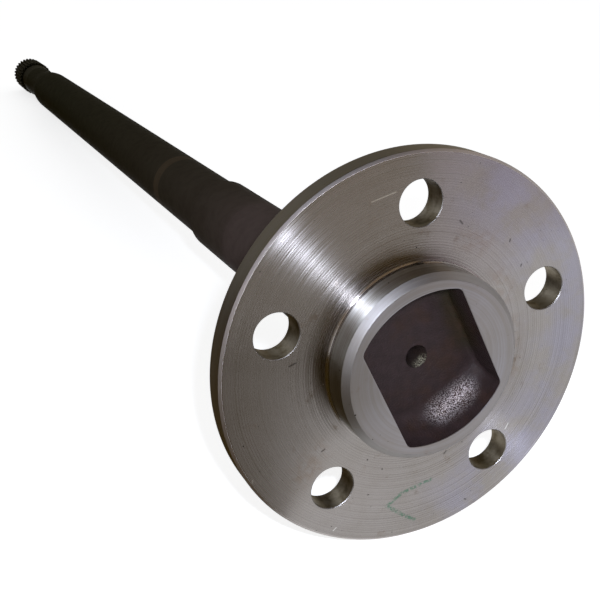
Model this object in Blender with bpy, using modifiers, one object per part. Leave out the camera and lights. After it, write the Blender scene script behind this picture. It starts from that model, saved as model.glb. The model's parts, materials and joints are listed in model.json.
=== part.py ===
"""Axle shaft: one forging in steel, turned, drilled and splined.

The shaft is drawn along its own Z axis: the face that the wheel bolts to lies at z = 0, the
wheel pilot stands on the positive side and the shaft runs down the negative side, with one
stud hole on +Y. An empty then lays it down as it comes to rest, on the rim of the flange and
the tips of the splines, with the wheel face towards -Y.
"""
import math

import bmesh
import bpy
from mathutils import Matrix, Vector

MM = 0.001

# Wheel flange and its stud holes, with the rim of steel that is left outside them
FLANGE_RIM = 10.05 * MM
FLANGE_THICKNESS = 10.1 * MM
FLANGE_CHAMFER = 1.0 * MM
STUD_HOLE_COUNT = 5
BOLT_CIRCLE_D = 114.3 * MM
STUD_HOLE_D = 17.0 * MM
STUD_HOLE_CHAMFER = 0.3 * MM

# Wheel pilot, with the forged pocket sunk into its face
PILOT_D = 71.0 * MM
PILOT_HEIGHT = 12.6 * MM
PILOT_CHAMFER = 2.4 * MM
PILOT_ROOT_FILLET = 1.2 * MM
POCKET_DEPTH = 12.6 * MM
POCKET_WIDTH = 42.2 * MM
POCKET_END_RIM = 4.1 * MM
POCKET_END_RADIUS = 34.3 * MM
POCKET_CORNER_RADIUS = 3.0 * MM
POCKET_SIDE_DRAFT = math.radians(4.0)
POCKET_SIDE_FILLET = 2.0 * MM
POCKET_END_DISH = 11.0 * MM
POCKET_TURN = math.radians(25.6)

# Shaft, from the back of the flange to the inboard end
SEAL_LAND_STEP = 2.65 * MM
SEAL_LAND_LENGTH = 34.0 * MM
SEAL_LAND_FILLET = 9.0 * MM
JOURNAL_D = 38.7 * MM
JOURNAL_LENGTH = 162.0 * MM
SHOULDER_SLOPE = math.radians(45.0)
BODY_D = 34.8 * MM
BODY_LENGTH = 484.0 * MM
TAPER_LENGTH = 50.0 * MM
NECK_LENGTH = 47.0 * MM
NECK_BELOW_ROOT = 0.6 * MM

# Splines: flat-root teeth of 30 degrees pressure angle
SPLINE_TEETH = 30
SPLINE_MODULE = 25.4 / 24 * MM
SPLINE_PRESSURE_ANGLE = math.radians(30.0)
SPLINE_TIP_HEIGHT = SPLINE_MODULE / 2
SPLINE_ROOT_DEPTH = SPLINE_MODULE * 0.9
SPLINE_LENGTH = 44.0 * MM
SPLINE_END_CHAMFER = 1.5 * MM

# Centre holes in the pocket's floor and in the inboard end
CENTRE_HOLE_D = 8.9 * MM
CENTRE_DRILL_D = 3.4 * MM
CENTRE_DRILL_DEPTH = 10.0 * MM
CENTRE_HOLE_HALF_ANGLE = math.radians(30.0)

# Facets and the reach of a cutter past the face that it cuts
SHAFT_FACETS = 82
HOLE_FACETS = 32
FILLET_STEPS = 4
TAPER_STEPS = 5
POCKET_LEVELS = 7
POCKET_ARC_STEPS = 10
OVERCUT = 1.0 * MM

# Sizes that follow from those above
FLANGE_R = BOLT_CIRCLE_D / 2 + STUD_HOLE_D / 2 + FLANGE_RIM
PILOT_FACE_R = PILOT_D / 2 - PILOT_CHAMFER
POCKET_FLOOR_Z = PILOT_HEIGHT - POCKET_DEPTH
SEAL_LAND_R = JOURNAL_D / 2 + SEAL_LAND_STEP
SPLINE_PITCH_R = SPLINE_TEETH * SPLINE_MODULE / 2
SPLINE_TIP_R = SPLINE_PITCH_R + SPLINE_TIP_HEIGHT
SPLINE_ROOT_R = SPLINE_PITCH_R - SPLINE_ROOT_DEPTH
NECK_R = SPLINE_ROOT_R - NECK_BELOW_ROOT
FLANGE_BACK_Z = -FLANGE_THICKNESS
JOURNAL_Z = FLANGE_BACK_Z - SEAL_LAND_LENGTH
BODY_Z = JOURNAL_Z - JOURNAL_LENGTH
TAPER_Z = BODY_Z - BODY_LENGTH
NECK_Z = TAPER_Z - TAPER_LENGTH
SPLINE_Z = NECK_Z - NECK_LENGTH
END_Z = SPLINE_Z - SPLINE_LENGTH


def arc(centre, radius, start, end, steps):
    """Points on a circle's arc, from one angle to the other, both ends included."""
    return [(centre[0] + radius * math.cos(start + (end - start) * i / steps),
             centre[1] + radius * math.sin(start + (end - start) * i / steps))
            for i in range(steps + 1)]


def shoulder(upper_r, lower_r, z):
    """The two corners of a sloping shoulder that starts at z and steps in to a smaller radius."""
    drop = abs(upper_r - lower_r) / math.tan(SHOULDER_SLOPE)
    return [(upper_r, z), (lower_r, z - drop)]


def shaft_profile():
    """Radius and height of every corner of the turned blank, from the pilot down to the inboard end."""
    pilot = [(0, PILOT_HEIGHT), (PILOT_FACE_R, PILOT_HEIGHT), (PILOT_D / 2, PILOT_HEIGHT - PILOT_CHAMFER)]
    pilot += arc((PILOT_D / 2 + PILOT_ROOT_FILLET, PILOT_ROOT_FILLET), PILOT_ROOT_FILLET,
                 math.pi, math.pi * 1.5, FILLET_STEPS)
    flange = [(FLANGE_R - FLANGE_CHAMFER, 0), (FLANGE_R, -FLANGE_CHAMFER),
              (FLANGE_R, FLANGE_BACK_Z + FLANGE_CHAMFER), (FLANGE_R - FLANGE_CHAMFER, FLANGE_BACK_Z)]
    land = arc((SEAL_LAND_R + SEAL_LAND_FILLET, FLANGE_BACK_Z - SEAL_LAND_FILLET), SEAL_LAND_FILLET,
               math.pi / 2, math.pi, FILLET_STEPS)
    journal = shoulder(SEAL_LAND_R, JOURNAL_D / 2, JOURNAL_Z)
    body = shoulder(JOURNAL_D / 2, BODY_D / 2, BODY_Z)
    taper = [(NECK_R + (BODY_D / 2 - NECK_R) * (1 + math.cos(math.pi * i / TAPER_STEPS)) / 2,
              TAPER_Z - TAPER_LENGTH * i / TAPER_STEPS) for i in range(TAPER_STEPS + 1)]
    spline = [(NECK_R, SPLINE_Z), (SPLINE_TIP_R, SPLINE_Z - (SPLINE_TIP_R - NECK_R)),
              (SPLINE_TIP_R, END_Z + SPLINE_END_CHAMFER), (SPLINE_TIP_R - SPLINE_END_CHAMFER, END_Z),
              (0, END_Z)]
    return pilot + flange + land + journal + body + taper + spline


def turn(name, profile, facets, collection):
    """Turns a profile of (radius, height) corners, listed from the top down, round the Z axis."""
    mesh = bpy.data.meshes.new(name)
    edges = [(i, i + 1) for i in range(len(profile) - 1)]
    mesh.from_pydata([(r, 0, z) for r, z in profile], edges, [])
    turned = bpy.data.objects.new(name, mesh)
    collection.objects.link(turned)
    screw = turned.modifiers.new("Turn", "SCREW")
    screw.steps = screw.render_steps = facets
    screw.use_merge_vertices = True
    screw.merge_threshold = 0.01 * MM
    solid = bpy.data.meshes.new_from_object(turned.evaluated_get(bpy.context.evaluated_depsgraph_get()))
    turned.modifiers.clear()
    turned.data = solid
    solid.name = name
    bpy.data.meshes.remove(mesh)
    return turned


def loft(name, sections, collection, copies=1):
    """Skins closed sections of equal point count, top section first, and repeats the solid round Z.

    Each section is a list of points that runs anticlockwise when seen from above.
    """
    skin = bmesh.new()
    for copy in range(copies):
        turn_to = Matrix.Rotation(2 * math.pi * copy / copies, 3, "Z")
        rings = [[skin.verts.new(turn_to @ Vector(point)) for point in section] for section in sections]
        count = len(rings[0])
        skin.faces.new(rings[0])
        skin.faces.new(reversed(rings[-1]))
        for upper, lower in zip(rings, rings[1:]):
            for i in range(count):
                j = (i + 1) % count
                skin.faces.new((upper[i], lower[i], lower[j], upper[j]))
    mesh = bpy.data.meshes.new(name)
    skin.to_mesh(mesh)
    skin.free()
    solid = bpy.data.objects.new(name, mesh)
    collection.objects.link(solid)
    return solid


def hole_profile(radius, top_z, bottom_z, chamfer):
    """A through hole with a chamfer at each mouth, running a little past both faces."""
    mouth_r = radius + chamfer + OVERCUT
    return [(0, top_z + OVERCUT), (mouth_r, top_z + OVERCUT), (radius, top_z - chamfer),
            (radius, bottom_z + chamfer), (mouth_r, bottom_z - OVERCUT), (0, bottom_z - OVERCUT)]


def centre_hole_profile():
    """A lathe centre's hole with its mouth at z = 0: a countersink, then a drilled hole and its cone."""
    mouth_r, drill_r = CENTRE_HOLE_D / 2, CENTRE_DRILL_D / 2
    slope = math.tan(CENTRE_HOLE_HALF_ANGLE)
    sink = (mouth_r - drill_r) / slope
    return [(0, OVERCUT), (mouth_r + OVERCUT * slope, OVERCUT), (drill_r, -sink),
            (drill_r, -CENTRE_DRILL_DEPTH), (0, -CENTRE_DRILL_DEPTH - drill_r * slope)]


def pocket_outline(half_width, reach, z):
    """The pocket's outline at one height: two flats, two bowed ends and four rounded corners.

    The flats lie along Y and the ends face along it. Each corner's circle touches the flat and
    the end's arc from inside, so its centre is a corner radius short of both.
    """
    corner = min(POCKET_CORNER_RADIUS, half_width / 2)
    end_r = max(POCKET_END_RADIUS, half_width + corner)
    bow = reach - end_r
    centre_x = half_width - corner
    centre_y = bow + math.sqrt((end_r - corner) ** 2 - centre_x ** 2)
    tangent = math.atan2(centre_y - bow, centre_x)
    half = arc((centre_x, centre_y), corner, 0, tangent, FILLET_STEPS)
    half += arc((0, bow), end_r, tangent, math.pi - tangent, POCKET_ARC_STEPS)[1:-1]
    half += arc((-centre_x, centre_y), corner, math.pi - tangent, math.pi, FILLET_STEPS)
    return [(x, y, z) for x, y in half] + [(-x, -y, z) for x, y in half]


def pocket_sections():
    """The pocket from above the pilot's face down to its floor.

    The flats lean in by the forging's draft and end in a small fillet, and the ends sweep in
    to the floor on a wide dished radius, like the quarter of an ellipse.
    """
    half_width, reach = POCKET_WIDTH / 2, PILOT_FACE_R - POCKET_END_RIM
    sections = [pocket_outline(half_width, reach, PILOT_HEIGHT + OVERCUT)]
    for level in range(POCKET_LEVELS):
        angle = math.pi / 2 * level / (POCKET_LEVELS - 1)
        depth = POCKET_DEPTH * math.sin(angle)
        draft = depth * math.tan(POCKET_SIDE_DRAFT)
        into_fillet = max(0, depth - (POCKET_DEPTH - POCKET_SIDE_FILLET))
        fillet = POCKET_SIDE_FILLET - math.sqrt(max(0, POCKET_SIDE_FILLET ** 2 - into_fillet ** 2))
        dish = POCKET_END_DISH * (1 - math.cos(angle))
        sections.append(pocket_outline(half_width - draft - fillet, reach - dish, PILOT_HEIGHT - depth))
    return sections


def spline_half_gap(radius):
    """Half the width between two splines: a quarter of the pitch, widening outwards with the flanks."""
    return math.pi * SPLINE_MODULE / 4 + (radius - SPLINE_PITCH_R) * math.tan(SPLINE_PRESSURE_ANGLE)


def spline_gap_sections():
    """The space between two splines, centred on -Y, from the neck to past the inboard end."""
    outer_r = SPLINE_TIP_R + OVERCUT
    root, mouth = spline_half_gap(SPLINE_ROOT_R), spline_half_gap(outer_r)
    corners = [(-mouth, -outer_r), (mouth, -outer_r), (root, -SPLINE_ROOT_R), (-root, -SPLINE_ROOT_R)]
    return [[(x, y, z) for x, y in corners] for z in (SPLINE_Z + OVERCUT, END_Z - OVERCUT)]


def steel(name, base_colour, roughness):
    """A plain metal material in the colour that the forging has in daylight."""
    material = bpy.data.materials.new(name)
    material.use_nodes = True
    shader = material.node_tree.nodes["Principled BSDF"]
    shader.inputs["Base Color"].default_value = (*base_colour, 1)
    shader.inputs["Metallic"].default_value = 1.0
    shader.inputs["Roughness"].default_value = roughness
    return material


def new_collection(name):
    """A collection linked to the scene."""
    collection = bpy.data.collections.new(name)
    bpy.context.scene.collection.children.link(collection)
    return collection


def cut(part, cutter):
    """Cuts one solid from the part, and shows the cutter as a wire outline only."""
    cutter.display_type = "WIRE"
    cutter.hide_render = True
    boolean = part.modifiers.new(cutter.name, "BOOLEAN")
    boolean.operation = "DIFFERENCE"
    boolean.solver = "EXACT"
    boolean.object = cutter


def make_cutters(collection):
    """Every cutter of the part, in the order in which the cuts are made."""
    pocket = loft("pocket_cutter", pocket_sections(), collection)
    pocket.rotation_euler.z = POCKET_TURN
    front_centre = turn("front_centre_cutter", centre_hole_profile(), HOLE_FACETS, collection)
    front_centre.location.z = POCKET_FLOOR_Z
    end_centre = turn("end_centre_cutter", centre_hole_profile(), HOLE_FACETS, collection)
    end_centre.location.z = END_Z
    end_centre.rotation_euler.x = math.pi
    stud_holes = []
    for i in range(STUD_HOLE_COUNT):
        profile = hole_profile(STUD_HOLE_D / 2, 0, FLANGE_BACK_Z, STUD_HOLE_CHAMFER)
        hole = turn(f"stud_hole_cutter_{i + 1}", profile, HOLE_FACETS, collection)
        clock = 2 * math.pi * i / STUD_HOLE_COUNT
        hole.location = (BOLT_CIRCLE_D / 2 * math.sin(clock), BOLT_CIRCLE_D / 2 * math.cos(clock), 0)
        stud_holes.append(hole)
    gaps = loft("spline_gap_cutter", spline_gap_sections(), collection, SPLINE_TEETH)
    return [pocket, front_centre, end_centre, *stud_holes, gaps]


def rest_tilt():
    """The slope of the shaft when the flange's rim and the tips of the splines both touch the ground."""
    rim_r = FLANGE_R * math.cos(math.pi / SHAFT_FACETS)
    rim_z = FLANGE_BACK_Z + FLANGE_CHAMFER
    tip_r = math.sqrt(SPLINE_TIP_R ** 2 - spline_half_gap(SPLINE_TIP_R) ** 2)
    tip_z = END_Z + SPLINE_END_CHAMFER
    return math.atan((rim_r - tip_r) / (rim_z - tip_z))


def lay_down(part, holder):
    """Tilts the part to its rest and sets the middle of its underside on the origin."""
    holder.rotation_euler.x = math.pi / 2 - rest_tilt()
    bpy.context.view_layer.update()
    solid = part.evaluated_get(bpy.context.evaluated_depsgraph_get())
    corners = [solid.matrix_world @ vertex.co for vertex in solid.data.vertices]
    low = Vector(min(corner[axis] for corner in corners) for axis in range(3))
    high = Vector(max(corner[axis] for corner in corners) for axis in range(3))
    holder.location = (-(low.x + high.x) / 2, -(low.y + high.y) / 2, -low.z)


def main():
    for old in list(bpy.data.objects):
        bpy.data.objects.remove(old)
    parts = new_collection("axle shaft")
    cutters = new_collection("cutters")
    holder = bpy.data.objects.new("rest_pose", None)
    parts.objects.link(holder)

    shaft = turn("axle_shaft", shaft_profile(), SHAFT_FACETS, parts)
    shaft.data.materials.append(steel("turned and forged steel", (0.36, 0.33, 0.32), 0.42))
    shaft.data.shade_smooth()
    shaft.data.set_sharp_from_angle(angle=math.radians(20))
    shaft.parent = holder
    for cutter in make_cutters(cutters):
        cutter.parent = holder
        cut(shaft, cutter)
    shaft.modifiers.new("Even shading", "WEIGHTED_NORMAL").keep_sharp = True
    lay_down(shaft, holder)


main()
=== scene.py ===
"""Axle shaft: the fine surface and the finishes of one turned and splined steel forging.

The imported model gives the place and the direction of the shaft. The outside is drawn again as
one closed skin in the shaft's own frame, where the wheel face lies at z = 0, the wheel pilot is
on the positive side and a stud hole is on +Y, and is then laid down as the model lies.
"""
import json
import math

import bmesh
import bpy
import numpy as np
from bpy.props import FloatProperty, FloatVectorProperty, IntProperty, PointerProperty
from mathutils import Matrix, Vector


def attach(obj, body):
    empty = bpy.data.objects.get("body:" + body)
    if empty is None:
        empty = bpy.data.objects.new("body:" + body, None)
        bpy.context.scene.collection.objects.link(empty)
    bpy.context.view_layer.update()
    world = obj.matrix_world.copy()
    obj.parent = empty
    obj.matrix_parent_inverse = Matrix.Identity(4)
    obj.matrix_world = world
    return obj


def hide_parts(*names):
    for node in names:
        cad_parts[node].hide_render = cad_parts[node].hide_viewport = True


bl_info = {
    "name": "Axle Shaft",
    "version": (1, 0, 0),
    "blender": (4, 5, 0),
    "location": "View3D > Sidebar > Axle Shaft",
    "description": "Builds the turned and splined axle shaft with its finishes, and a plain studio",
    "category": "Object",
}

MM = 0.001

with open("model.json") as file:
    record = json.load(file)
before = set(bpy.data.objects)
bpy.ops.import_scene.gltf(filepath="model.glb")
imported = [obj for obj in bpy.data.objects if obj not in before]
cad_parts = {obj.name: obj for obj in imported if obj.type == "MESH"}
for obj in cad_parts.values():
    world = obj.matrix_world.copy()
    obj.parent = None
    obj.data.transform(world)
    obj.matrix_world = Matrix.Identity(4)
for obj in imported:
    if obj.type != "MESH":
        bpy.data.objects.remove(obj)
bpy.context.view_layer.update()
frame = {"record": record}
MOUNTS = {mount["name"]: mount for mount in frame["record"]["mounts"]}

STUD_HOLES = 5
# The splines' root lies this many modules inside the pitch circle
ROOT_DEPTH = 0.9
# A lathe centre's cone is 60 degrees wide
CENTRE_SLOPE = math.tan(math.radians(30))
# Fillet at the foot of the ramp that climbs from the neck to the splines
RAMP_FILLET = 1.0 * MM

# Points round each ring: twelve to a tooth and seventy-two to a stud hole's share of the flange
COLUMNS = 360
SECTOR_SIDE_STEPS = 22
SECTOR_LOOPS = 6
ARC_STEPS = 4
POCKET_CORNER_POINTS = 40
POCKET_END_POINTS = 80
POCKET_WALL_RINGS = 30
TAPER_RINGS = 15
LUMP_WAVES = 14
# How far from an arc the points lie that keep the flat beside it flat in smooth shading
SUPPORT = 0.25 * MM
MERGE = 0.002 * MM
SHARP_ANGLE = math.radians(32)

# The numbers of the finishes on the shaft's faces
FACED, LAND, CHAMFER, WALL, EDGE, RIM, DRILLED, SCALE, SHAFT, HOBBED = range(10)


def shaft_frame():
    """Rotation and origin of the shaft's own frame, from the wheel face's mount.

    The mount's point lies on the bolt circle, half a stud hole's share clockwise of the top
    hole, so the centre of the wheel face is that far back along the face.
    """
    mount = MOUNTS["wheel_face"]
    outward = Vector(mount["axis"]).normalized()
    across = Vector((1, 0, 0))
    up = outward.cross(across)
    turn = Matrix((across, up, outward)).transposed()
    clock = math.pi / STUD_HOLES
    sizes = bpy.context.scene.axle_shaft_sizes
    offset = Vector((math.sin(clock), math.cos(clock), 0)) * sizes.bolt_circle_d / 2
    return turn, Vector(mount["pos_m"]) - turn @ offset


def size(name, millimetres, description):
    """A length that a user may change, shown in the scene's units."""
    return FloatProperty(name=name, description=description, default=millimetres * MM, min=0,
                         unit="LENGTH", precision=5)


def angle(name, degrees, description):
    """An angle that a user may change."""
    return FloatProperty(name=name, description=description, default=math.radians(degrees),
                         subtype="ANGLE")


class AxleShaftSizes(bpy.types.PropertyGroup):
    bolt_circle_d: size("Bolt circle", 114.3, "Diameter of the circle that the stud holes lie on")
    stud_hole_d: size("Stud hole", 17.0, "Diameter of each stud hole")
    stud_hole_chamfer: size("Stud hole chamfer", 0.25, "Broken edge at each mouth of a stud hole")
    flange_r: size("Flange radius", 75.7, "Radius of the wheel flange")
    flange_thickness: size("Flange thickness", 10.1, "From the wheel face to the flange's back")
    flange_chamfer: size("Flange chamfer", 1.0, "Chamfer on both edges of the flange")
    pilot_d: size("Pilot", 71.0, "Diameter of the wheel pilot")
    pilot_height: size("Pilot height", 12.6, "How far the pilot stands out of the wheel face")
    pilot_chamfer: size("Pilot chamfer", 2.4, "Chamfer round the pilot's face")
    pilot_root_fillet: size("Pilot fillet", 1.2, "Fillet between the pilot and the wheel face")
    pocket_depth: size("Pocket depth", 12.6, "Depth of the forged pocket")
    pocket_width: size("Pocket width", 42.2, "Across the pocket's two flats")
    pocket_end_rim: size("Pocket end rim", 4.1, "Face left outside the middle of a bowed end")
    pocket_end_radius: size("Pocket end radius", 34.3, "Radius of the pocket's bowed ends")
    pocket_corner_radius: size("Pocket corner", 3.0, "Radius of the pocket's four corners")
    pocket_side_fillet: size("Pocket fillet", 2.0, "Fillet at the foot of the pocket's flats")
    pocket_end_dish: size("Pocket dish", 11.0, "How far the bowed ends sweep in to the floor")
    seal_land_step: size("Seal land step", 2.65, "How far the seal land stands above the journal")
    seal_land_length: size("Seal land length", 34.0, "Behind the flange, its fillet included")
    seal_land_fillet: size("Seal land fillet", 9.0, "Fillet between the flange and the seal land")
    journal_d: size("Journal", 38.7, "Diameter of the bearing journal")
    journal_length: size("Journal length", 162.0, "Length of the bearing journal")
    body_d: size("Body", 34.8, "Diameter of the shaft's plain body")
    body_length: size("Body length", 484.0, "Length of the plain body")
    taper_length: size("Taper length", 50.0, "From the body down to the neck")
    neck_length: size("Neck length", 47.0, "Neck before the splines")
    neck_below_root: size("Neck below root", 0.6, "How far the neck lies under the splines' root")
    spline_length: size("Spline length", 44.0, "Length of the splined end")
    spline_end_chamfer: size("Spline chamfer", 1.5, "Chamfer at the shaft's inboard end")
    spline_module: size("Spline module", 25.4 / 24, "Pitch diameter divided by the tooth count")
    centre_hole_d: size("Centre hole", 8.9, "Mouth of the lathe centre's hole at both ends")
    centre_drill_d: size("Centre drill", 3.4, "Drilled hole at the foot of a centre hole")
    centre_drill_depth: size("Centre depth", 10.0, "Depth of the drilled hole")
    edge: size("Edge break", 0.2, "Radius that deburring leaves on a turned edge")
    scale_lumps: size("Scale lumps", 0.09, "Height of the lumps that the forging die left")
    spline_teeth: IntProperty(name="Spline teeth", description="Number of splines", default=30)
    pocket_turn: angle("Pocket turn", 25.6, "From the top stud hole back to the pocket's length")
    pocket_side_draft: angle("Pocket draft", 4.0, "Lean of the pocket's two flats")
    pressure_angle: angle("Pressure angle", 30.0, "Lean of the splines' flanks")


def linear(code):
    """A linear colour with alpha from an sRGB hex code such as 8A8177."""
    values = [int(code[i:i + 2], 16) / 255 for i in (0, 2, 4)]
    return [v / 12.92 if v <= 0.04045 else ((v + 0.055) / 1.055) ** 2.4 for v in values] + [1.0]


def colour(name, code, description):
    """A colour that a user may change, given as an sRGB hex code."""
    return FloatVectorProperty(name=name, description=description, default=linear(code), size=4,
                               min=0, max=1, subtype="COLOR")


class AxleShaftFinish(bpy.types.PropertyGroup):
    steel: colour("Turned steel", "AAA4A2", "Bare steel that a lathe tool has just cut")
    steel_dull: colour("Dull steel", "948C84", "Bare steel under a film of old oil")
    land: colour("Fine-turned steel", "A6A3AA", "Finer cut on the pilot's face")
    chamfer: colour("Chamfered steel", "9C9999", "Form cut on the pilot's chamfer")
    edge: colour("Edge", "C8C0BE", "Steel that handling has polished on the flange's edges")
    wall: colour("Rough-turned steel", "BCBAB8", "Coarser cut on the pilot's wall")
    rim: colour("Oiled rim", "8E8678", "Turned rim under a film of old oil")
    bore: colour("Drilled steel", "988F7E", "Bare steel in a drilled hole")
    bore_stain: colour("Bore stain", "62563F", "Cutting oil that has dried in a drilled hole")
    # Oiled splines, whose near-black is partly painted shade where the lamp's light falls off at
    # the far end
    hobbed: colour("Hobbed steel", "1E1C12", "Oiled steel between the splines")
    stain: colour("Stain", "8A6F55", "Light rust that has begun under the oil")
    film: colour("Oil film", "A9A6B8", "Thin oil that turns the steel bluish towards the rim")
    crayon: colour("Crayon", "2F7A5C", "Green crayon of an inspector's tick")
    scratch: colour("Scratch", "E8E6E4", "Bright steel in a fresh scratch")
    # Also the painted shade that darkens the centre hole in the pocket's floor
    pit_and_shade: colour("Pit", "1C1815", "Bottom of a nick or a rust pit")
    scale: colour("Forging scale", "362A2A", "Purplish iron oxide that the forge leaves")
    # Painted highlight: the bright colour of the patch on the pocket's lower dished end, where the
    # lamp's glint is painted in
    painted_highlight: colour("Rubbed scale", "D4C8C8", "Dense oxide where something rubbed the scale")
    crumbs: colour("Crumbs", "A39C86", "Dried cutting oil and dust in the centre hole")
    scale_warm: colour("Warm scale", "3E2B22", "Thinner, rusty scale")
    shaft: colour("Hardened shaft", "4F433F", "Oxide and quench oil on the bearing journal")
    # Painted shade: the dark olive that the shaft fades to towards the splines and that darkens the
    # pocket's flat wall; the hobbed splines also take it as their oiled colour
    far_shade_and_oil: colour("Far shaft", "24220D", "Thicker, darker oil towards the splines")
    shaft_warm: colour("Shaft rust", "281E13", "Brown rust that shows through the oil")
    groove_pitch: size("Tool pitch", 0.55, "Spacing of the tool marks, coarse enough to show")


class AxleShaftStage(bpy.types.PropertyGroup):
    camera_place: FloatVectorProperty(
        name="Camera", description="Where the camera stands",
        default=(-0.168608, -0.678334, 0.242099), subtype="TRANSLATION", unit="LENGTH")
    camera_turn: FloatVectorProperty(
        name="Camera turn", description="How the camera is turned",
        default=[math.radians(a) for a in (65.447, -0.979, -23.796)], subtype="EULER")
    camera_lens: FloatProperty(
        name="Lens", description="Focal length on a sensor 36 mm wide", default=59.09)
    key_power: FloatProperty(
        name="Key light", description="Power of the lamp beside the camera", default=1.35)
    key_offset: size("Key offset", 35, "How far the lamp stands from the camera, up and right")
    key_width: size("Key width", 14, "Width of the lamp beside the camera")
    key_tint: colour("Key tint", "E0EAFC", "Colour of the lamp beside the camera")
    flag: colour("Flag", "14100A", "Black card that steel and oil mirror")
    screen: colour("Screen", "C0A88A", "Pale brown card behind the camera")
    low_screen: colour("Low screen", "6D5C39", "Brown card low in front of the wheel face")
    side_screen: colour("Side screen", "B9ACB2", "Grey card low on the right")
    back_screen: colour("Back screen", "847E6D", "Grey-brown card behind the shaft")
    low_flag: colour("Low flag", "4A3A12", "Dark brown card on the floor at the left")
    pale: colour("Pale card", "CFCECD", "Pale grey card on the right")
    paper: colour("Paper", "EEF0F1", "Pale paper on the floor at the right")
    chalk: colour("Floor", "E7E7E7", "Chalk white paint of the floor")
    world_strength: FloatProperty(
        name="Sky", description="Strength of the even light from all round", default=0.35)


# Marks on the wheel face in its own millimetres, right and up from the centre, each a path of
# points. The tick is an inspector's crayon, the nicks are dents that hold dirt, and the
# scratches show bright steel
CRAYON_TICK = (((8.2, -53.1), (-4.5, -56.0), (-10.8, -60.0), (-2.8, -66.6), (1.3, -69.1)),)
NICKS = (((15.9, 49.0), (16.9, 47.8)), ((-50.0, 5.8), (-47.6, 6.6)),
         ((13.6, -43.2), (14.4, -42.2)), ((-30.5, -40.0), (-30.2, -41.0)),
         ((37.5, 38.4), (37.7, 39.2)), ((43.2, 28.2), (43.4, 28.8)),
         ((-38.0, -30.0), (-36.8, -29.4)), ((24.0, -66.0), (24.6, -66.4)))
SCRATCHES = (((-19.1, 59.9), (-10.0, 62.3)), ((41.2, -38.9), (42.4, -36.6)),
             ((-64.9, -36.2), (-64.6, -35.0)), ((-33.4, -64.6), (-32.2, -63.6)))
RUST_BLOOMS = (((34.0, 24.0), (37.0, 19.0)), ((20.0, 42.0), (26.0, 40.0)),
               ((40.0, 4.0), (42.0, -12.0)), ((-46.0, -38.0), (-40.0, -30.0)))
OIL_FILM = (((34.0, 59.0), (59.0, 34.0), (68.0, 0.0), (59.0, -34.0), (26.0, -64.0)),)
# Marks in the pocket, and the radius inside which its centre hole is darkened with painted shade
# The patch on the lower dished end is a painted highlight: bright half-metallic grains where the
# lamp glints
PAINTED_HIGHLIGHT_END = (((10.3, -24.9), (21.4, -18.6)),)
HOLE_CRUMBS = (((1.4, -2.6), (2.4, -2.2)),)
POCKET_RUST = (((15.0, 20.0), (20.0, 6.0)),)
# Painted shade with an olive tint along the pocket's right flat wall
POCKET_WALL_SHADE = (((12.5, 27.0), (22.0, 6.0)),)
HOLE_R = 4.4 * MM

# Heights down the shaft: where its painted shade starts to darken it and is darkest, and its paler
# ring
SHADE_START_Z, SHADE_END_Z = -155 * MM, -600 * MM
PALE_RING_Z, PALE_RING_HALF = -279 * MM, 5 * MM
# The spacing of the coarse marks and of the grooves, in tool pitches
COARSE_PITCHES, CUT_PITCHES = 4, 1.7
# Marks that a drill leaves, in waves to the metre: long round the hole and short along it
DRILL_MARKS = (90, 90, 1400)

# The studio's cards stand on the sides of a box, in metres. Their papers change at the middle
# widths and heights, and those on the floor meet just behind the wheel face
LEFT, RIGHT, FAR_RIGHT, FRONT, BACK, TOP = -1.1, 0.9, 1.7, -0.9, 1.0, 1.5
NEAR, LOW, MIDDLE = 0.3, 0.3, 0.7
SEAM, SHAFT_SIDE, LIFT = -0.404, -0.02, 1 * MM
# The dark card on the floor fades to the pale one across a line from this corner
FADE_CORNER, FADE_ANGLE, FADE_HALF = (-0.055, -0.42, 0), math.radians(29), 0.3
FLOOR_HALF, FLOOR_Z = 4.0, -0.1 * MM


def grid_faces(rings, columns, start, closed=True):
    """Quads of a grid of rings whose first point has the index start.

    Quad (i, j) takes ring i at columns j and j + 1, then ring i + 1 at j + 1 and j. With rings
    that run clockwise seen from +Z and follow each other outwards, it faces +Z.
    """
    i, j = np.meshgrid(np.arange(rings - 1), np.arange(columns if closed else columns - 1),
                       indexing="ij")
    across = (j + 1) % columns
    quads = np.stack([i * columns + j, i * columns + across, (i + 1) * columns + across,
                      (i + 1) * columns + j], axis=-1)
    return quads.reshape(-1, 4) + start


def rings_from_profile(profile):
    """Carries a profile of complex numbers, radius + i height, round the Z axis.

    Point (i, j) is at radius r_i and clock angle c_j: (r sin c, r cos c, z).
    """
    clock = np.linspace(0, 2 * np.pi, COLUMNS, endpoint=False)
    radius, height = profile.real[:, None], profile.imag[:, None]
    return np.stack([radius * np.sin(clock), radius * np.cos(clock),
                     np.broadcast_to(height, (len(profile), COLUMNS))], axis=-1)


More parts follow.
